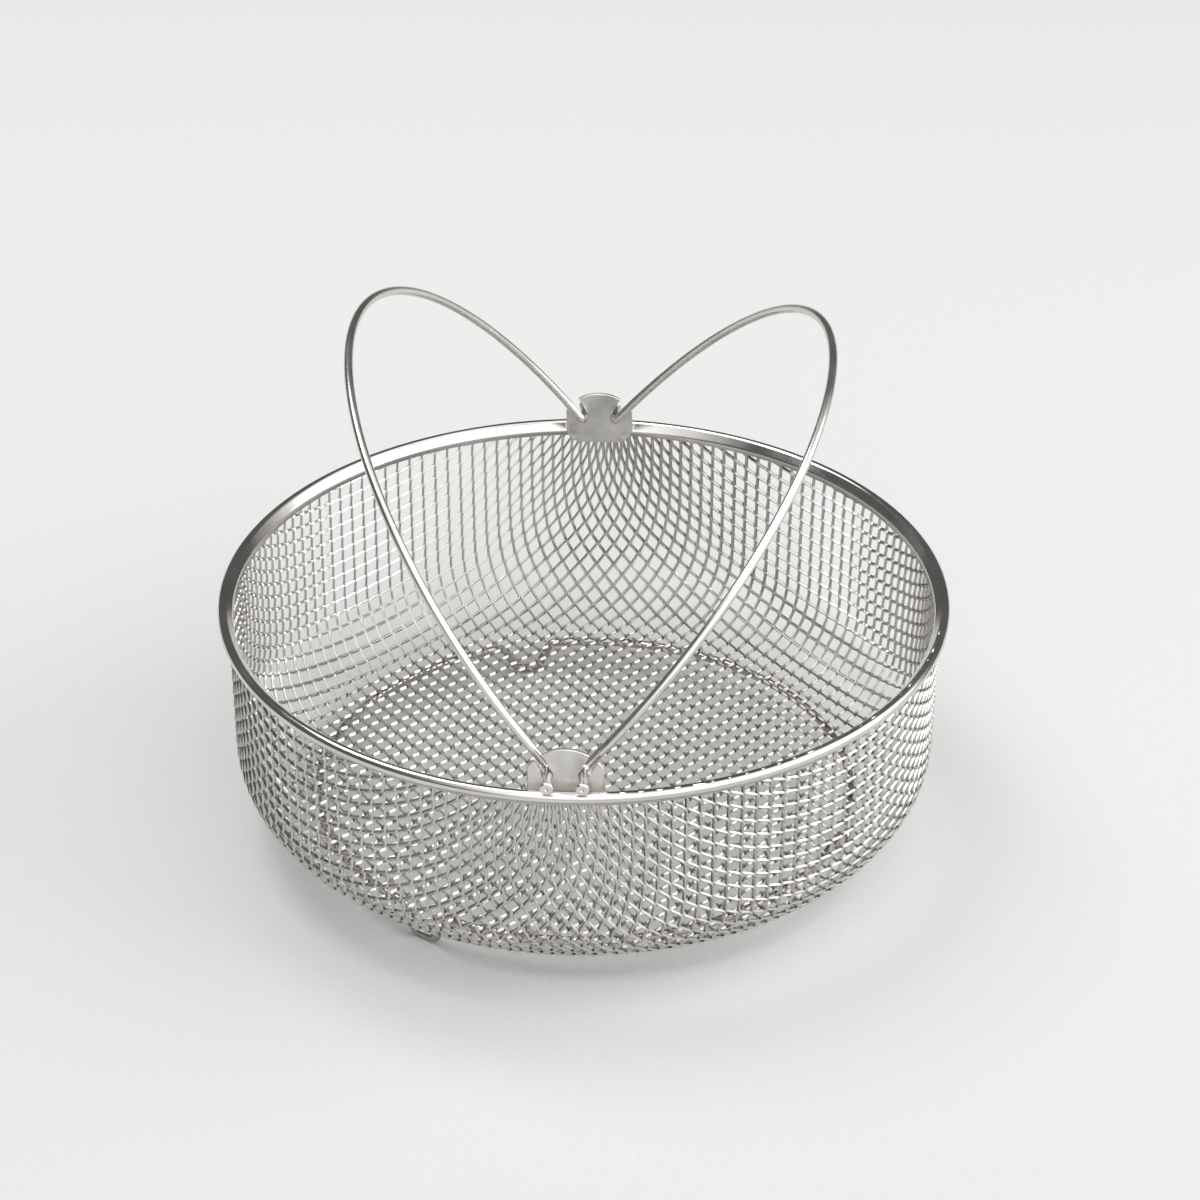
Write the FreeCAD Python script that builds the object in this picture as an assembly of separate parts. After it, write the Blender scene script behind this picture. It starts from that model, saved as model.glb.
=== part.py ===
import FreeCAD, Part
import math
import os

# Wire basket strainer, in millimetres. +Z is up and Z = 0 is the plane that the three feet stand on.
# The origin is on the bowl's axis. +Y runs to the rear ear and +X to the right-hand bail.

V = FreeCAD.Vector
ORIGIN = V(0, 0, 0)
UP = V(0, 0, 1)

# Rim: one strip folded over the mesh's edge and rolled outward round a core wire.
RIM_RADIUS = 100.0
STRIP = 0.4
BEAD_RADIUS = 1.5
CORE_RADIUS = 1.0
INNER_HEM_DROP = 2.2
OUTER_HEM_DROP = 2.9
INNER_FOLD = 1.0
OUTER_FOLD = 0.6

# Bowl: expanded sheet metal, whose tilted strands stand this thick in all.
MESH = 1.2
HEM_GAP = 0.05
BOWL_DEPTH = 60.4
BOWL_TOP_RADIUS = 97.38
BOWL_BASE_RADIUS = 96.8
BOWL_FILLET = 20.0

# Round wire of the foot ring and of both bails.
WIRE_RADIUS = 1.2

# Foot ring under the floor, with three bent feet at these angles from +X.
FOOT_RING_RADIUS = 75.2
FOOT_ANGLES = (106.0, 238.0, 348.0)
FOOT_DROP = 7.8
FOOT_WIDTH = 17.4
FOOT_FLAT = 6.4
FOOT_BEND = 2.4
FOOT_LEAD = 1.5
FOOT_WELDS_PER_RUN = 3
FOOT_WELD_RADIUS = 1.3
WELD_GAP = 0.1

# Ears: flat plates inside the rim, with two open slots that hold the bails.
EAR_THICKNESS = 1.0
EAR_HALF_WIDTH = 9.7
EAR_DROP = 4.0
EAR_CORNER = 4.5
EAR_SHOULDER = 2.0
EAR_HEAD_RADIUS = 11.3
EAR_HEAD_CENTRE = 0.9
EAR_EDGE = 0.18
EAR_WELD_RADIUS = 0.7
EAR_WELD_X = 7.4
EAR_WELD_DROP = 1.5
EAR_DIMPLE_DEPTH = 0.18
EAR_DIMPLE_BALL = 4.0

# Bail hinges, measured from the rim's centre plane.
HINGE_X = 4.5
HINGE_RISE = 4.5
SLOT_CLEARANCE = 0.08
SLOT_LEAN = 27.0
SLOT_REACH = 14.0

# Bails: half rings with their ends bent outward through the ears and upset into heads.
# Each leans out at its own rest tilt above the rim's plane: -1 is the left bail and 1 the right.
BAIL_RADIUS = 91.4
BAIL_BEND = 1.8
BAIL_TILTS = {-1: 52.6, 1: 49.0}
PIN_END = 100.4
HEAD_RADIUS = 1.75
HEAD_LENGTH = 1.4
HEAD_ROUND = 0.55
HEAD_DIMPLE_RADIUS = 0.55
HEAD_DIMPLE_DEPTH = 0.45

# Heights above the standing plane. The welds hold the ring just clear of the mesh.
RING_Z = WIRE_RADIUS + FOOT_DROP
BASE_Z = RING_Z + WIRE_RADIUS + WELD_GAP
RIM_Z = BASE_Z + BOWL_DEPTH
HINGE_Z = RIM_Z + HINGE_RISE

# Radii of the rim strip's middle line.
BEAD_CENTRE = RIM_RADIUS - BEAD_RADIUS
BEAD_MID = BEAD_RADIUS - STRIP / 2
OUTER_HEM = BOWL_TOP_RADIUS + HEM_GAP + STRIP / 2
INNER_HEM = BOWL_TOP_RADIUS - MESH - HEM_GAP - STRIP / 2
INNER_HEM_FACE = INNER_HEM - STRIP / 2

# The ear's corners just touch the inside of the hem.
EAR_OUTER_Y = math.sqrt(INNER_HEM_FACE ** 2 - EAR_HALF_WIDTH ** 2)
EAR_INNER_Y = EAR_OUTER_Y - EAR_THICKNESS


def polar(radius, degrees, z):
    """The point at a radius and an angle from +X."""
    angle = math.radians(degrees)
    return V(radius * math.cos(angle), radius * math.sin(angle), z)


def line(start, end):
    return Part.LineSegment(start, end).toShape()


def arc(start, middle, end):
    return Part.Arc(start, middle, end).toShape()


def joined(shapes):
    """One solid from touching pieces."""
    return shapes[0].multiFuse(shapes[1:]).removeSplitter().Solids[0]


def save(name, solids):
    """Writes one node's solids to its own file."""
    shape = solids[0] if len(solids) == 1 else Part.makeCompound(solids)
    shape.exportStep(os.path.join("parts", name + ".step"))


def rounded_path(points, bend):
    """Edges through the points, with each corner turned by a tangent arc of the bend radius."""
    edges = []
    last = points[0]
    for before, corner, after in zip(points, points[1:], points[2:]):
        back = (before - corner).normalize()
        ahead = (after - corner).normalize()
        half = back.getAngle(ahead) / 2
        setback = bend / math.tan(half)
        middle = (back + ahead).normalize() * (bend / math.sin(half) - bend)
        start = corner + back * setback
        edges.append(line(last, start))
        last = corner + ahead * setback
        edges.append(arc(start, corner + middle, last))
    edges.append(line(last, points[-1]))
    return edges


def rod_piece(edge, radius):
    """A round rod along one straight or circular edge."""
    first = edge.FirstParameter
    start = edge.valueAt(first)
    section = Part.Face(Part.Wire(Part.makeCircle(radius, start, edge.tangentAt(first))))
    if isinstance(edge.Curve, Part.Circle):
        turn = math.degrees(edge.LastParameter - first)
        return section.revolve(edge.Curve.Center, edge.Curve.Axis, turn)
    return section.extrude(edge.valueAt(edge.LastParameter) - start)


def rod(edges, radius):
    return joined([rod_piece(edge, radius) for edge in edges])


def strip_piece(edge, thickness):
    """The flat section of a strip along one edge of its middle line, in the XZ plane."""
    first, last = edge.FirstParameter, edge.LastParameter
    ends = []
    for parameter in (first, (first + last) / 2, last):
        tangent = edge.tangentAt(parameter)
        side = V(-tangent.z, 0, tangent.x) * (thickness / 2)
        point = edge.valueAt(parameter)
        ends.append((point + side, point - side))
    (left_a, right_a), (left_m, right_m), (left_b, right_b) = ends
    if isinstance(edge.Curve, Part.Circle):
        sides = [arc(left_a, left_m, left_b), arc(right_b, right_m, right_a)]
    else:
        sides = [line(left_a, left_b), line(right_b, right_a)]
    outline = [sides[0], line(left_b, right_b), sides[1], line(right_a, left_a)]
    return Part.Face(Part.Wire(outline))


def rim_band():
    """Inner hem, slanted shoulder, rolled bead and outer hem, as one folded strip."""
    def at(radius, z):
        return V(radius, 0, RIM_Z + z)

    def on_bead(degrees):
        angle = math.radians(degrees)
        return at(BEAD_CENTRE + BEAD_MID * math.cos(angle), BEAD_MID * math.sin(angle))

    shoulder = on_bead(135)
    fold = at(INNER_HEM, shoulder.z - RIM_Z - (shoulder.x - INNER_HEM))
    edges = rounded_path([at(INNER_HEM, -INNER_HEM_DROP), fold, shoulder], INNER_FOLD)
    edges.append(arc(shoulder, on_bead(22.5), on_bead(-90)))
    under = at(OUTER_HEM, -BEAD_MID)
    edges += rounded_path([on_bead(-90), under, at(OUTER_HEM, -OUTER_HEM_DROP)], OUTER_FOLD)
    faces = [strip_piece(edge, STRIP) for edge in edges]
    section = faces[0].multiFuse(faces[1:]).removeSplitter().Faces[0]
    return section.revolve(ORIGIN, UP, 360)


def rim_core_wire():
    return Part.makeTorus(BEAD_CENTRE, CORE_RADIUS, V(0, 0, RIM_Z), UP)


def mesh_bowl():
    """The deep-drawn mesh as an open-topped shell of the mesh's own thickness."""
    def boundary(offset):
        """Top, wall tangent, mid-fillet, floor tangent and centre, offset inward."""
        taper = math.atan2(BOWL_TOP_RADIUS - BOWL_BASE_RADIUS, BOWL_DEPTH)
        radius = BOWL_FILLET - offset
        lean = math.cos(taper)
        across = BOWL_BASE_RADIUS + (BOWL_FILLET * math.sin(taper) - BOWL_FILLET) / lean
        centre_z = BASE_Z + BOWL_FILLET
        top_z = RIM_Z - fold_depth

        def on_fillet(degrees):
            angle = math.radians(degrees)
            return V(across + radius * math.cos(angle), 0, centre_z + radius * math.sin(angle))

        wall = on_fillet(-math.degrees(taper))
        top = V(wall.x + (top_z - wall.z) * math.tan(taper), 0, top_z)
        return top, wall, on_fillet(-45), on_fillet(-90), V(0, 0, BASE_Z + offset)

    fold_depth = INNER_FOLD + STRIP
    outer = boundary(0)
    inner = boundary(MESH)
    edges = [
        line(outer[0], outer[1]),
        arc(outer[1], outer[2], outer[3]),
        line(outer[3], outer[4]),
        line(outer[4], inner[4]),
        line(inner[4], inner[3]),
        arc(inner[3], inner[2], inner[1]),
        line(inner[1], inner[0]),
        line(inner[0], outer[0]),
    ]
    return Part.Face(Part.Wire(edges)).revolve(ORIGIN, UP, 360)


def foot_half_angle():
    return math.degrees(math.asin(FOOT_WIDTH / 2 / FOOT_RING_RADIUS))


def foot_edges(angle):
    """One trapezoid foot, bent down out of the ring between two ring points."""
    half = foot_half_angle()
    start = polar(FOOT_RING_RADIUS, angle - half, RING_Z)
    end = polar(FOOT_RING_RADIUS, angle + half, RING_Z)
    lead_in = start + polar(FOOT_LEAD, angle - half + 90, 0)
    lead_out = end + polar(FOOT_LEAD, angle + half - 90, 0)
    middle = (lead_in + lead_out) * 0.5 - V(0, 0, FOOT_DROP)
    along = polar(FOOT_FLAT / 2, angle + 90, 0)
    points = [start, lead_in, middle - along, middle + along, lead_out, end]
    return rounded_path(points, FOOT_BEND)


def ring_runs():
    """Start and end angles of the ring's three plain runs, between the feet."""
    half = foot_half_angle()
    following = FOOT_ANGLES[1:] + (FOOT_ANGLES[0] + 360,)
    return [(a + half, b - half) for a, b in zip(FOOT_ANGLES, following)]


def foot_ring():
    edges = []
    for angle, (start, end) in zip(FOOT_ANGLES, ring_runs()):
        edges += foot_edges(angle)
        stops = [polar(FOOT_RING_RADIUS, a, RING_Z) for a in (start, (start + end) / 2, end)]
        edges.append(arc(*stops))
    return rod(edges, WIRE_RADIUS)


def foot_ring_welds(ring):
    """Small resistance welds that fill between the ring wire and the floor above it."""
    welds = []
    for start, end in ring_runs():
        for i in range(FOOT_WELDS_PER_RUN):
            angle = start + (end - start) * (i + 0.5) / FOOT_WELDS_PER_RUN
            foot = polar(FOOT_RING_RADIUS, angle, RING_Z + WIRE_RADIUS / 2)
            drop = BASE_Z - foot.z
            weld = Part.makeCylinder(FOOT_WELD_RADIUS, drop, foot, UP).cut(ring)
            welds += weld.Solids
    return welds


def y_edges(shape, x, z):
    """The shape's edges that run along Y at this X and Z."""
    found = []
    for edge in shape.Edges:
        ends = [vertex.Point for vertex in edge.Vertexes]
        if all(math.hypot(end.x - x, end.z - z) < 0.01 for end in ends):
            found.append(edge)
    return found


def across_ear(radius, x, z):
    """A cylinder along Y that passes through the rear ear."""
    return Part.makeCylinder(radius, EAR_THICKNESS, V(x, EAR_INNER_Y, z), V(0, 1, 0))


def slot_cut(side):
    """The open slot of one bail: a round seat at the hinge and straight sides to the ear's edge."""
    radius = WIRE_RADIUS + SLOT_CLEARANCE
    seat = across_ear(radius, side * HINGE_X, HINGE_Z)
    corner = V(side * HINGE_X - radius, EAR_INNER_Y, HINGE_Z)
    sides = Part.makeBox(2 * radius, EAR_THICKNESS, SLOT_REACH, corner)
    sides.rotate(V(side * HINGE_X, 0, HINGE_Z), V(0, 1, 0), side * SLOT_LEAN)
    return seat.fuse(sides)


def ear_weld_centres():
    return [V(side * EAR_WELD_X, EAR_INNER_Y, RIM_Z - EAR_WELD_DROP) for side in (-1, 1)]


def ear():
    """The rear ear: a plate with a round head, two slots and two weld dimples."""
    head_z = RIM_Z + EAR_HEAD_CENTRE
    bottom_z = RIM_Z - EAR_DROP
    width = 2 * EAR_HALF_WIDTH
    low_corner = V(-EAR_HALF_WIDTH, EAR_INNER_Y, bottom_z)
    plate = Part.makeBox(width, EAR_THICKNESS, head_z - bottom_z, low_corner)
    for side in (-1, 1):
        corner = y_edges(plate, side * EAR_HALF_WIDTH, bottom_z)
        plate = plate.makeFillet(EAR_CORNER, corner)
    above = V(-EAR_HALF_WIDTH, EAR_INNER_Y, head_z)
    cheeks = Part.makeBox(width, EAR_THICKNESS, EAR_HEAD_RADIUS, above)
    head = across_ear(EAR_HEAD_RADIUS, 0, head_z).common(cheeks)
    plate = joined([plate, head])
    shoulder_z = head_z + math.sqrt(EAR_HEAD_RADIUS ** 2 - EAR_HALF_WIDTH ** 2)
    for side in (-1, 1):
        shoulder = y_edges(plate, side * EAR_HALF_WIDTH, shoulder_z)
        plate = plate.makeFillet(EAR_SHOULDER, shoulder)
        plate = plate.cut(slot_cut(side))
    plate = plate.Solids[0]
    faces = [f for f in plate.Faces if abs(f.normalAt(0, 0).y) > 0.99]
    plate = plate.makeChamfer(EAR_EDGE, [e for f in faces for e in f.OuterWire.Edges])
    for centre in ear_weld_centres():
        ball = centre - V(0, EAR_DIMPLE_BALL - EAR_DIMPLE_DEPTH, 0)
        plate = plate.cut(Part.makeSphere(EAR_DIMPLE_BALL, ball))
    return plate.Solids[0]


def ear_welds():
    """The rear ear's two weld nuggets, between its plate and the hem."""
    hem = Part.makeCylinder(INNER_HEM_FACE, RIM_Z)
    welds = []
    for centre in ear_weld_centres():
        start = V(centre.x, EAR_OUTER_Y, centre.z)
        nugget = Part.makeCylinder(EAR_WELD_RADIUS, EAR_THICKNESS, start, V(0, 1, 0))
        welds += nugget.common(hem).Solids
    return welds


def to_front(solids):
    """The front ear's pieces mirror the rear ear's."""
    return [solid.mirror(ORIGIN, V(0, 1, 0)) for solid in solids]


def pin_head(hinge, side):
    """The upset end of a bail's pin: a round-edged button with a dimple in its face."""
    outward = V(0, side, 0)
    start = V(hinge.x, side * PIN_END, hinge.z)
    button = Part.makeCylinder(HEAD_RADIUS, HEAD_LENGTH, start, outward)
    rims = [e for e in button.Edges if len(e.Vertexes) == 1]
    button = button.makeFillet(HEAD_ROUND, rims)
    dimple = start + outward * (HEAD_LENGTH - HEAD_DIMPLE_DEPTH)
    return button.cut(Part.makeCone(0, HEAD_DIMPLE_RADIUS, HEAD_DIMPLE_DEPTH, dimple, outward))


def bail(side):
    """One bail, raised by its rest tilt: side is -1 for the left bail and 1 for the right."""
    tilt = math.radians(BAIL_TILTS[side])
    away = V(side * math.cos(tilt), 0, math.sin(tilt))
    hinge = V(side * HINGE_X, 0, HINGE_Z)
    pieces = []
    stops = []
    for end in (-1, 1):
        leg = hinge + V(0, end * BAIL_RADIUS, 0)
        top = leg + away * BAIL_BEND
        pin_tip = hinge + V(0, end * PIN_END, 0)
        bend_end = leg + V(0, end * BAIL_BEND, 0)
        inside = leg + (away + V(0, end, 0)) * (BAIL_BEND * (1 - math.sqrt(0.5)))
        pieces.append(rod_piece(arc(top, inside, bend_end), WIRE_RADIUS))
        pieces.append(rod_piece(line(bend_end, pin_tip), WIRE_RADIUS))
        pieces.append(pin_head(hinge, end))
        stops.append(top)
    crown = hinge + away * (BAIL_BEND + BAIL_RADIUS)
    pieces.append(rod_piece(arc(stops[0], crown, stops[1]), WIRE_RADIUS))
    return joined(pieces)


def main():
    os.makedirs("parts", exist_ok=True)
    ring = foot_ring()
    rear_ear = ear()
    rear_welds = ear_welds()
    save("mesh_bowl", [mesh_bowl()])
    save("rim_band", [rim_band()])
    save("rim_core_wire", [rim_core_wire()])
    save("foot_ring", [ring])
    save("foot_ring_welds", foot_ring_welds(ring))
    save("ear_rear", [rear_ear])
    save("ear_rear_welds", rear_welds)
    save("ear_front", to_front([rear_ear]))
    save("ear_front_welds", to_front(rear_welds))
    save("bail_left", [bail(-1)])
    save("bail_right", [bail(1)])


main()
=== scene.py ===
import math

import bpy
import numpy as np
from mathutils import Matrix, Vector

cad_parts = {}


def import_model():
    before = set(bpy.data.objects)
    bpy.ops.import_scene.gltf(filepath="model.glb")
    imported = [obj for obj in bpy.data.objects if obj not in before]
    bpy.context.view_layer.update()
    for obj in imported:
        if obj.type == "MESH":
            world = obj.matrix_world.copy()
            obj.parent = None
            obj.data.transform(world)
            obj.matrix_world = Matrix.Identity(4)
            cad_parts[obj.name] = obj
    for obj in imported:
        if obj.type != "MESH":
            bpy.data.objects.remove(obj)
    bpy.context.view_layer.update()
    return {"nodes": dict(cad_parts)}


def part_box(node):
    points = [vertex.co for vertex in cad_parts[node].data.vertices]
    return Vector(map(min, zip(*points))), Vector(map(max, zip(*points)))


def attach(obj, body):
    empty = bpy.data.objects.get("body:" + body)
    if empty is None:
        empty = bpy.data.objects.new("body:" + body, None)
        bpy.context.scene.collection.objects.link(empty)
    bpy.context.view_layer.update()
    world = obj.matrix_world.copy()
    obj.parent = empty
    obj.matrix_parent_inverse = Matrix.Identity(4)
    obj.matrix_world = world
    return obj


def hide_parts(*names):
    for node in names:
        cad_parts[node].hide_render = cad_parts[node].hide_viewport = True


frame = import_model()

MM = 0.001

# The expanded mesh: sheet that is slit and stretched into diamonds, then deep drawn into the bowl.
# Its strands run front to back, and each is bonded to its neighbours in turn on its two sides.
PITCH_I = 4.28 * MM
PITCH_J = 4.15 * MM
BEARING_I = math.radians(46.6)
BEARING_J = math.radians(129.75)
STRAND_WIDTH = 0.70 * MM
STRAND_THICKNESS = 0.86 * MM
STRAND_CHAMFER = 0.08 * MM
STRAND_TILT = math.radians(28.0)
BOND_LENGTH = 0.85 * MM
BOND_SHARE = 0.6
LEG_SHARE = 0.9
MESH_GROUPS = 6

# The middle surface of the mesh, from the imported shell.
BOWL_LOW, BOWL_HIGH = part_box("mesh_bowl")
MESH = 1.2 * MM
FLOOR_Z = BOWL_LOW.z + MESH / 2
TOP_Z = BOWL_HIGH.z
TOP_RADIUS = BOWL_HIGH.x - MESH / 2
WALL_LEAN, WALL_HEIGHT = 0.58, 60.4
WALL_TAPER = math.atan(WALL_LEAN / WALL_HEIGHT)
FILLET = 20.0 * MM - MESH / 2

# The rim's centre plane and radius, from the bead's core wire.
CORE_LOW, CORE_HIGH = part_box("rim_core_wire")
RIM_Z = (CORE_LOW.z + CORE_HIGH.z) / 2
RIM_CENTRE = Vector((0, 0, RIM_Z))


# ---------------------------------------------------------------- mesh surface

def bowl_profile():
    """The middle line's floor radius, fillet centre height and tangent data."""
    lean = math.cos(WALL_TAPER)
    tangent_z = FLOOR_Z + FILLET - FILLET * math.sin(WALL_TAPER)
    wall_radius = TOP_RADIUS - (TOP_Z - tangent_z) * math.tan(WALL_TAPER)
    floor_radius = wall_radius - FILLET * lean
    return floor_radius, tangent_z, wall_radius


FLOOR_RADIUS, TANGENT_Z, WALL_RADIUS = bowl_profile()
FILLET_LENGTH = FILLET * (math.pi / 2 - WALL_TAPER)
TOP_LENGTH = FLOOR_RADIUS + FILLET_LENGTH + (TOP_Z - TANGENT_Z) / math.cos(WALL_TAPER)


def profile_at(s):
    """Radius and height at a distance s along the middle line from the centre, with their slopes."""
    if s <= FLOOR_RADIUS:
        return s, FLOOR_Z, 1.0, 0.0
    if s <= FLOOR_RADIUS + FILLET_LENGTH:
        turn = (s - FLOOR_RADIUS) / FILLET
        radius = FLOOR_RADIUS + FILLET * math.sin(turn)
        return radius, FLOOR_Z + FILLET * (1 - math.cos(turn)), math.cos(turn), math.sin(turn)
    along = s - FLOOR_RADIUS - FILLET_LENGTH
    slope_r, slope_z = math.sin(WALL_TAPER), math.cos(WALL_TAPER)
    return WALL_RADIUS + along * slope_r, TANGENT_Z + along * slope_z, slope_r, slope_z


def on_bowl(s, bearing):
    """The point, its slopes along s and along the bearing, and the outward normal."""
    radius, z, slope_r, slope_z = profile_at(s)
    c, n = math.cos(bearing), math.sin(bearing)
    point = np.array((radius * c, radius * n, z))
    along = np.array((slope_r * c, slope_r * n, slope_z))
    round_ = np.array((-radius * n, radius * c, 0.0))
    normal = np.array((slope_z * c, slope_z * n, -slope_r))
    return point, along, round_, normal


def next_bond(beside_i, beside_j, before):
    """The next bond: one pitch from each of two neighbours, across from the one before."""
    guess = beside_i["point"] + beside_j["point"] - before["point"]
    bearing = math.atan2(guess[1], guess[0])
    s = beside_i["s"] + beside_j["s"] - before["s"]
    for _ in range(12):
        point, along, round_, normal = on_bowl(s, bearing)
        from_i, from_j = point - beside_i["point"], point - beside_j["point"]
        miss = np.array((from_i @ from_i - PITCH_I ** 2, from_j @ from_j - PITCH_J ** 2))
        slopes = 2 * np.array(((from_i @ along, from_i @ round_), (from_j @ along, from_j @ round_)))
        step = np.linalg.solve(slopes, miss)
        s -= step[0]
        bearing -= step[1]
        if abs(step[0]) < 1e-9:
            break
    point, _, _, normal = on_bowl(s, bearing)
    return {"point": point, "normal": normal, "s": s}


def meridian_bond(steps, pitch, bearing):
    """A bond on one of the two rows that pass through the middle of the floor."""
    s = abs(steps) * pitch
    point, _, _, normal = on_bowl(s, bearing if steps >= 0 else bearing + math.pi)
    return {"point": point, "normal": normal, "s": s}


def bond_net():
    """All the mesh's bonds, numbered along both rows of legs, to just past the trimmed edge."""
    reach = int(TOP_LENGTH / PITCH_J) + 3
    net = {}
    for k in range(-reach, reach + 1):
        net[k, 0] = meridian_bond(k, PITCH_I, BEARING_I)
        net[0, k] = meridian_bond(k, PITCH_J, BEARING_J)
    for side_i in (-1, 1):
        for side_j in (-1, 1):
            for i in range(side_i, side_i * (reach + 1), side_i):
                for j in range(side_j, side_j * (reach + 1), side_j):
                    beside_i = net.get((i - side_i, j))
                    beside_j = net.get((i, j - side_j))
                    if beside_i is None or beside_j is None:
                        break
                    if min(beside_i["s"], beside_j["s"]) > TOP_LENGTH + PITCH_I:
                        break
                    net[i, j] = next_bond(beside_i, beside_j, net[i - side_i, j - side_j])
    return net


def unit(vector):
    return vector / np.linalg.norm(vector)


def bond_frame(net, i, j):
    """A bond's middle, half its length along the strands, and half a strand's tilted width."""
    here = net[i, j]
    ends = [net.get(key) for key in ((i - 1, j), (i + 1, j), (i, j - 1), (i, j + 1))]
    if None in ends:
        return None
    low_i, high_i, low_j, high_j = (end["point"] for end in ends)
    step_i, step_j = (high_i - low_i) / 2, (high_j - low_j) / 2
    diagonal = step_i + step_j
    across = unit(step_i - step_j)
    tilted = math.cos(STRAND_TILT) * across - math.sin(STRAND_TILT) * here["normal"]
    half = min(BOND_LENGTH, BOND_SHARE * np.linalg.norm(diagonal) / 2) / 2
    return here["point"], half * unit(diagonal), STRAND_WIDTH / 2 * tilted


# ---------------------------------------------------------------- strands

def strand_lines(frames, number):
    """The middle line of one strand, as stretches of (point, half width) between missing bonds."""
    reach = max(abs(i) + abs(j) for i, j in frames)
    lines = [[]]
    for place in range(-reach, reach + 1):
        side = 1 if (place - number) % 2 == 0 else -1
        shift = number if side == 1 else number + 1
        frame_here = frames.get(((place + shift) // 2, (place - shift) // 2))
        if frame_here is None:
            lines.append([])
            continue
        middle, ahead, half_width = frame_here
        centre = middle + side * half_width
        lines[-1] += [(centre - ahead, half_width), (centre + ahead, half_width)]
    return [line for line in lines if len(line) > 2]


def softened(line):
    """The line with its corners cut once, and with its legs narrower than its bonds."""
    soft = [line[0]]
    for k, ((a, wide_a), (b, wide_b)) in enumerate(zip(line, line[1:])):
        share = 1.0 if k % 2 == 0 else LEG_SHARE
        soft.append((a * 0.75 + b * 0.25, (wide_a * 0.75 + wide_b * 0.25) * share))
        soft.append((a * 0.25 + b * 0.75, (wide_a * 0.25 + wide_b * 0.75) * share))
    soft.append(line[-1])
    return soft


def cut_at_top(low, high):
    share = (TOP_Z - low[0][2]) / (high[0][2] - low[0][2])
    return low[0] * (1 - share) + high[0] * share, low[1]


def below_top(line):
    """The stretches of a line that lie below the mesh's top edge, each cut on that edge."""
    stretches = []
    current = []
    before = None
    for here in line:
        if here[0][2] <= TOP_Z:
            if not current and before is not None:
                current.append(cut_at_top(here, before))
            current.append(here)
        elif current:
            current.append(cut_at_top(current[-1], here))
            stretches.append(current)
            current = []
        before = here
    if current:
        stretches.append(current)
    return [stretch for stretch in stretches if len(stretch) > 2]


def strand_section():
    """Corners of a strand's section: across as a share of its half width, and through in metres."""
    y, c = STRAND_THICKNESS / 2, STRAND_CHAMFER
    x = 1 - 2 * c / STRAND_WIDTH
    return np.array(((1, y - c), (x, y), (-x, y), (-1, y - c), (-1, c - y), (-x, -y), (x, -y), (1, c - y)))


def swept(line, section):
    """Vertices and faces of a closed strand swept along a line of (point, half width)."""
    points = np.array([point for point, _ in line])
    wide = np.array([half_width for _, half_width in line])
    tangents = np.gradient(points, axis=0)
    tangents /= np.linalg.norm(tangents, axis=1)[:, None]
    size = np.linalg.norm(wide, axis=1)[:, None]
    wide -= tangents * np.sum(tangents * wide, axis=1)[:, None]
    wide /= np.linalg.norm(wide, axis=1)[:, None]
    thick = np.cross(tangents, wide)
    wide *= size
    ring = section[None, :, 0:1] * wide[:, None] + section[None, :, 1:2] * thick[:, None]
    vertices = (points[:, None] + ring).reshape(-1, 3)
    sides = len(section)
    faces = []
    for k in range(len(line) - 1):
        for m in range(sides):
            here, there = k * sides + m, k * sides + (m + 1) % sides
            faces.append((here, there, there + sides, here + sides))
    faces.append(tuple(reversed(range(sides))))
    faces.append(tuple(range((len(line) - 1) * sides, len(line) * sides)))
    return vertices, faces


def mesh_piece(name, parts, sides, body):
    """One object from several strands, smooth along each strand and sharp along its edges."""
    vertices, faces = [], []
    for part_vertices, part_faces in parts:
        start = len(vertices)
        vertices.extend(map(tuple, part_vertices))
        faces.extend(tuple(start + v for v in face) for face in part_faces)
    mesh = bpy.data.meshes.new(name)
    mesh.from_pydata(vertices, [], faces)
    mesh.update(calc_edges=True)
    mesh.polygons.foreach_set("use_smooth", [len(face) == 4 for face in faces])
    ends = np.zeros(2 * len(mesh.edges), dtype=np.int32)
    mesh.edges.foreach_get("vertices", ends)
    lengthwise = np.abs(ends[0::2] - ends[1::2]) == sides
    mesh.attributes.new("sharp_edge", "BOOLEAN", "EDGE").data.foreach_set("value", lengthwise)
    piece = bpy.data.objects.new(name, mesh)
    bpy.context.scene.collection.objects.link(piece)
    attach(piece, body)
    return piece


def expanded_mesh(material):
    """The bowl's strands, in a few pieces from left to right."""
    net = bond_net()
    frames = {key: bond_frame(net, *key) for key in net}
    frames = {key: found for key, found in frames.items() if found is not None}
    numbers = [i - j for i, j in frames]
    lines = []
    for number in range(min(numbers), max(numbers)):
        for line in strand_lines(frames, number):
            lines += below_top(softened(line))
    section = strand_section()
    parts = [swept(line, section) for line in lines]
    sizes = np.cumsum([len(faces) for _, faces in parts])
    groups = np.minimum(sizes * MESH_GROUPS // (sizes[-1] + 1), MESH_GROUPS - 1)
    for group in range(MESH_GROUPS):
        chosen = [part for part, place in zip(parts, groups) if place == group]
        piece = mesh_piece(f"mesh_strands_{group + 1}", chosen, len(section), "basket")
        piece.data.materials.append(material)
        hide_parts("mesh_bowl")


# ---------------------------------------------------------------- materials

# Noise values at which a patch is fully one tone or the other.
PATCH_LOW = 0.3
PATCH_HIGH = 0.7


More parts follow.
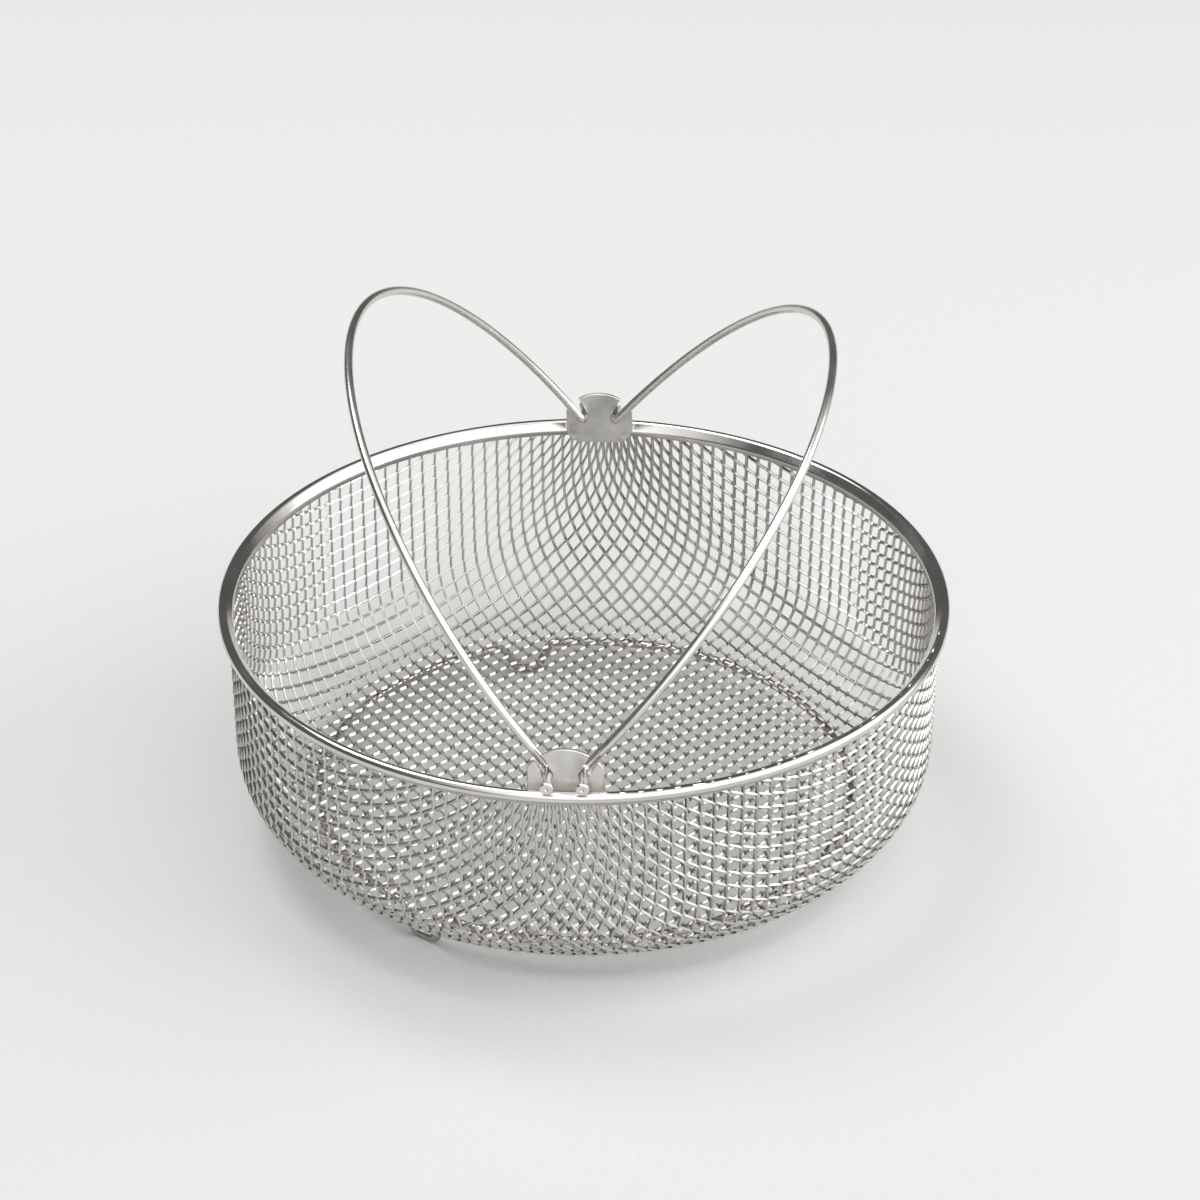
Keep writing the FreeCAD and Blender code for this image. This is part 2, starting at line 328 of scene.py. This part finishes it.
class Nodes:
    """Short calls for building one material's node tree."""

    def __init__(self, name):
        self.material = bpy.data.materials.new(name)
        self.material.use_nodes = True
        self.tree = self.material.node_tree
        self.shader = self.tree.nodes["Principled BSDF"]

    def add(self, kind, **settings):
        node = self.tree.nodes.new("ShaderNode" + kind)
        for key, value in settings.items():
            if hasattr(node, key):
                setattr(node, key, value)
            else:
                node.inputs[key.replace("_", " ").title()].default_value = value
        return node

    def link(self, source, target):
        self.tree.links.new(source, target)

    def place(self, stretch=(1, 1, 1)):
        """Object coordinates, stretched along each axis."""
        place = self.add("TexCoord")
        scale = self.add("VectorMath", operation="MULTIPLY")
        scale.inputs[1].default_value = stretch
        self.link(place.outputs["Object"], scale.inputs[0])
        return scale.outputs[0]

    def height(self):
        """Height above the standing plane."""
        place = self.add("TexCoord")
        parts = self.add("SeparateXYZ")
        self.link(place.outputs["Object"], parts.inputs[0])
        return parts.outputs["Z"]

    def round_place(self, along, across):
        """Coordinates that run round the basket's axis, for marks left by rolling."""
        place = self.add("TexCoord")
        parts = self.add("SeparateXYZ")
        self.link(place.outputs["Object"], parts.inputs[0])
        turn = self.math("ARCTAN2", parts.outputs["Y"], parts.outputs["X"])
        squares = self.math("ADD", self.math("POWER", parts.outputs["X"], 2),
                            self.math("POWER", parts.outputs["Y"], 2))
        radius = self.math("SQRT", squares)
        joined = self.add("CombineXYZ")
        self.link(self.math("MULTIPLY", turn, along), joined.inputs[0])
        self.link(self.math("MULTIPLY", radius, across), joined.inputs[1])
        self.link(self.math("MULTIPLY", parts.outputs["Z"], across), joined.inputs[2])
        return joined.outputs[0]

    def math(self, operation, first, second=None):
        node = self.add("Math", operation=operation)
        for socket, value in zip(node.inputs, (first, second)):
            if value is None:
                continue
            if isinstance(value, (int, float)):
                socket.default_value = value
            else:
                self.link(value, socket)
        return node.outputs[0]

    def noise(self, vector, scale, detail=3.0):
        node = self.add("TexNoise", scale=scale, detail=detail)
        self.link(vector, node.inputs["Vector"])
        return node.outputs["Fac"]

    def spread(self, value, low, high, start=PATCH_LOW, end=PATCH_HIGH):
        """Maps a noise value from start..end to low..high."""
        node = self.add("MapRange")
        for name, number in (("From Min", start), ("From Max", end), ("To Min", low), ("To Max", high)):
            node.inputs[name].default_value = number
        self.link(value, node.inputs["Value"])
        return node.outputs["Result"]

    def ramp(self, value, stops):
        node = self.add("ValToRGB")
        elements = node.color_ramp.elements
        while len(elements) < len(stops):
            elements.new(0.5)
        for element, (place, colour) in zip(elements, stops):
            element.position = place
            element.color = (*colour, 1)
        self.link(value, node.inputs["Fac"])
        return node.outputs["Color"]

    def two_tone(self, value, tint):
        """Maps a noise value to a mix of two colours."""
        return self.ramp(value, ((PATCH_LOW, tint[0]), (PATCH_HIGH, tint[1])))

    def bump(self, height, strength, distance):
        node = self.add("Bump")
        node.inputs["Strength"].default_value = strength
        node.inputs["Distance"].default_value = distance
        self.link(height, node.inputs["Height"])
        self.link(node.outputs["Normal"], self.shader.inputs["Normal"])


# Noise scale of the soft patches, and how strongly the fine grain bumps a surface.
PATCH_SCALE = 60.0
PLATE_PATCH_SCALE = 160.0
GRAIN_STRENGTH = 0.35


def steel(name, vector_of, tint, rough, grain, grain_depth, patch_scale=PATCH_SCALE):
    """Stainless steel: tint and roughness vary in soft patches, and fine drawn lines bump it."""
    n = Nodes(name)
    n.shader.inputs["Metallic"].default_value = 1.0
    patches = n.noise(n.place(), patch_scale)
    n.link(n.two_tone(patches, tint), n.shader.inputs["Base Color"])
    n.link(n.spread(patches, *rough), n.shader.inputs["Roughness"])
    n.bump(n.noise(vector_of(n), grain, 2.0), GRAIN_STRENGTH, grain_depth)
    return n.material


# Two colours per finish, for the ends of its soft patches.
WIRE_TINT = ((0.64, 0.62, 0.60), (0.74, 0.73, 0.71))
STRAND_TINT = ((0.50, 0.49, 0.47), (0.60, 0.59, 0.57))
STRIP_TINT = ((0.62, 0.60, 0.58), (0.74, 0.73, 0.71))
PLATE_TINT = ((0.54, 0.53, 0.51), (0.76, 0.75, 0.73))
# The ring tint is darker than the bail wire as painted shade for the foot ring under the basket; the core
# wire inside the bead shares it.
RING_PAINTED_SHADE_TINT = ((0.34, 0.32, 0.30), (0.52, 0.50, 0.48))
HEAT_TINTS = (
    (0.30, (0.42, 0.40, 0.38)),
    (0.48, (0.50, 0.42, 0.30)),
    (0.60, (0.30, 0.28, 0.34)),
    (0.75, (0.55, 0.53, 0.50)),
)

# Least and most roughness of each finish.
STRAND_ROUGHNESS = (0.24, 0.31)
STRIP_ROUGHNESS = (0.08, 0.20)
WIRE_ROUGHNESS = (0.20, 0.32)
PLATE_ROUGHNESS = (0.26, 0.46)
WELD_ROUGHNESS = (0.35, 0.6)

# How far each axis is stretched for the fine grain, so that it runs along the drawing or rolling.
BAIL_GRAIN = (3000.0, 60.0, 3000.0)
RING_GRAIN = (1500.0, 1500.0, 3000.0)
PLATE_GRAIN = (60.0, 60.0, 3500.0)
STRIP_GRAIN_ROUND = 2.0
STRIP_GRAIN_ACROSS = 4000.0
FINE_GRAIN = 0.01 * MM
PLATE_GRAIN_DEPTH = 0.02 * MM

# The hems below the bead get painted shade: their colour is darkened by this factor, with the change
# between these two heights.
HEM_PAINTED_SHADE = 0.62
HEM_Z = RIM_Z - 1.6 * MM
BEAD_Z = RIM_Z - 0.6 * MM


def strand_steel():
    return steel("strand_steel", lambda n: n.place(), STRAND_TINT, STRAND_ROUGHNESS, 2500.0, FINE_GRAIN)


def rolled_steel():
    """The rim strip: bright on the rolled bead, with painted shade darkening the colour of the two hems
    below it.
    """
    n = Nodes("rolled_steel")
    n.shader.inputs["Metallic"].default_value = 1.0
    patches = n.noise(n.place(), PATCH_SCALE)
    # Painted shade: the base colour is scaled down by height from the bead to the hems.
    painted_hem_shade = n.spread(n.height(), HEM_PAINTED_SHADE, 1.0, HEM_Z, BEAD_Z)
    tint = n.add("VectorMath", operation="SCALE")
    n.link(n.two_tone(patches, STRIP_TINT), tint.inputs[0])
    n.link(painted_hem_shade, tint.inputs["Scale"])
    n.link(tint.outputs[0], n.shader.inputs["Base Color"])
    n.link(n.spread(patches, *STRIP_ROUGHNESS), n.shader.inputs["Roughness"])
    grain = n.noise(n.round_place(STRIP_GRAIN_ROUND, STRIP_GRAIN_ACROSS), 1.0, 2.0)
    n.bump(grain, GRAIN_STRENGTH, FINE_GRAIN)
    return n.material


def drawn_steel(name, stretch, tint):
    return steel(name, lambda n: n.place(stretch), tint, WIRE_ROUGHNESS, 1.0, FINE_GRAIN)


def satin_steel():
    return steel("satin_steel", lambda n: n.place(PLATE_GRAIN), PLATE_TINT, PLATE_ROUGHNESS, 1.0,
                 PLATE_GRAIN_DEPTH, PLATE_PATCH_SCALE)


def weld_steel():
    """Weld metal: rough, with straw and blue heat tints."""
    n = Nodes("weld_steel")
    n.shader.inputs["Metallic"].default_value = 1.0
    heat = n.noise(n.place(), 900.0)
    n.link(n.ramp(heat, HEAT_TINTS), n.shader.inputs["Base Color"])
    n.link(n.spread(heat, *WELD_ROUGHNESS), n.shader.inputs["Roughness"])
    n.bump(n.noise(n.place(), 2500.0), 0.6, 0.05 * MM)
    return n.material


def finish_node(node, material):
    """Gives a CAD node its material in every slot."""
    mesh = frame["nodes"][node].data
    mesh.materials.clear()
    mesh.materials.append(material)


# ---------------------------------------------------------------- studio

CAMERA_ELEVATION = math.radians(31.2)
CAMERA_BEARING = math.radians(2.55)
CAMERA_DISTANCE = 985.9 * MM
CAMERA_SIDE = 4.39 * MM
CAMERA_LIFT = -1.43 * MM
CAMERA_LENS = 108.0

# The room: bright walls round one direction (bearing, elevation), dim opposite.
ROOM_BRIGHT_TOWARD = (-45.0, 35.0)
ROOM_DIM = 0.12
ROOM_BRIGHT = 1.7
ROOM_DIM_COSINE = 0.2
ROOM_BRIGHT_COSINE = 0.75

# Soft lights: bearing, elevation, distance, width, height and power.
KEY_RIGHT = (-3.0, 30.0, 1.5, 1.4, 0.8, 10.0)
OVERHEAD_LEFT = (152.0, 66.0, 1.4, 0.8, 0.8, 9.0)

FLOOR_TINT = ((0.60, 0.60, 0.595), (0.62, 0.62, 0.615))
FLOOR_HALF = 4.0


def camera():
    data = bpy.data.cameras.new("camera")
    data.lens = CAMERA_LENS
    data.sensor_width = 36.0
    data.clip_start, data.clip_end = 0.05, 20.0
    seen = bpy.data.objects.new("camera", data)
    bpy.context.scene.collection.objects.link(seen)
    turn = Matrix.Rotation(CAMERA_BEARING, 4, "Z") @ Matrix.Rotation(math.pi / 2 - CAMERA_ELEVATION, 4, "X")
    offset = turn @ Vector((CAMERA_SIDE, CAMERA_LIFT, CAMERA_DISTANCE))
    seen.matrix_world = Matrix.Translation(RIM_CENTRE + offset) @ turn
    bpy.context.scene.camera = seen


def toward(bearing, elevation):
    """The unit direction at a bearing and an elevation in degrees."""
    b, e = math.radians(bearing), math.radians(elevation)
    return Vector((math.cos(b) * math.cos(e), math.sin(b) * math.cos(e), math.sin(e)))


def soft_box(name, bearing, elevation, distance, width, height, power):
    """A rectangular studio light that faces the basket."""
    data = bpy.data.lights.new(name, "AREA")
    data.shape = "RECTANGLE"
    data.size, data.size_y = width, height
    data.energy = power
    light = bpy.data.objects.new(name, data)
    bpy.context.scene.collection.objects.link(light)
    direction = toward(bearing, elevation)
    light.location = RIM_CENTRE + direction * distance
    light.rotation_euler = direction.to_track_quat("Z", "Y").to_euler()


def floor():
    """A wide pale sheet under the feet."""
    n = Nodes("paper_floor")
    fibre = n.noise(n.place(), 700.0)
    n.link(n.two_tone(fibre, FLOOR_TINT), n.shader.inputs["Base Color"])
    n.shader.inputs["Roughness"].default_value = 0.9
    n.shader.inputs["Specular IOR Level"].default_value = 0.1
    n.bump(fibre, 0.1, 0.02 * MM)
    mesh = bpy.data.meshes.new("floor")
    half = FLOOR_HALF
    corners = [(-half, -half, 0), (half, -half, 0), (half, half, 0), (-half, half, 0)]
    mesh.from_pydata(corners, [], [(0, 1, 2, 3)])
    mesh.materials.append(n.material)
    sheet = bpy.data.objects.new("floor", mesh)
    bpy.context.scene.collection.objects.link(sheet)


def world():
    """Soft room light: bright walls round one direction and a dim room opposite."""
    room = bpy.data.worlds.new("studio")
    room.use_nodes = True
    tree = room.node_tree
    background = tree.nodes["Background"]
    background.inputs["Color"].default_value = (1.0, 0.99, 0.98, 1)
    place = tree.nodes.new("ShaderNodeTexCoord")
    facing = tree.nodes.new("ShaderNodeVectorMath")
    facing.operation = "DOT_PRODUCT"
    facing.inputs[1].default_value = toward(*ROOM_BRIGHT_TOWARD)
    spread = tree.nodes.new("ShaderNodeMapRange")
    spread.interpolation_type = "SMOOTHSTEP"
    spread.inputs["From Min"].default_value = ROOM_DIM_COSINE
    spread.inputs["From Max"].default_value = ROOM_BRIGHT_COSINE
    spread.inputs["To Min"].default_value = ROOM_DIM
    spread.inputs["To Max"].default_value = ROOM_BRIGHT
    tree.links.new(place.outputs["Generated"], facing.inputs[0])
    tree.links.new(facing.outputs["Value"], spread.inputs["Value"])
    tree.links.new(spread.outputs["Result"], background.inputs["Strength"])
    bpy.context.scene.world = room


def studio():
    camera()
    floor()
    world()
    soft_box("key_right", *KEY_RIGHT)
    soft_box("overhead_left", *OVERHEAD_LEFT)
    view = bpy.context.scene.view_settings
    view.view_transform = "Standard"
    view.look = "None"


# ---------------------------------------------------------------- everything

def main():
    expanded_mesh(strand_steel())
    finish_node("rim_band", rolled_steel())
    wire = drawn_steel("drawn_steel_bails", BAIL_GRAIN, WIRE_TINT)
    finish_node("bail_left", wire)
    finish_node("bail_right", wire)
    # Same wire as the bails, with its colour darkened as painted shade.
    ring = drawn_steel("drawn_steel_ring_painted_shade", RING_GRAIN, RING_PAINTED_SHADE_TINT)
    finish_node("foot_ring", ring)
    finish_node("rim_core_wire", ring)
    plate = satin_steel()
    finish_node("ear_rear", plate)
    finish_node("ear_front", plate)
    weld = weld_steel()
    for node in ("foot_ring_welds", "ear_rear_welds", "ear_front_welds"):
        finish_node(node, weld)
    studio()


main()
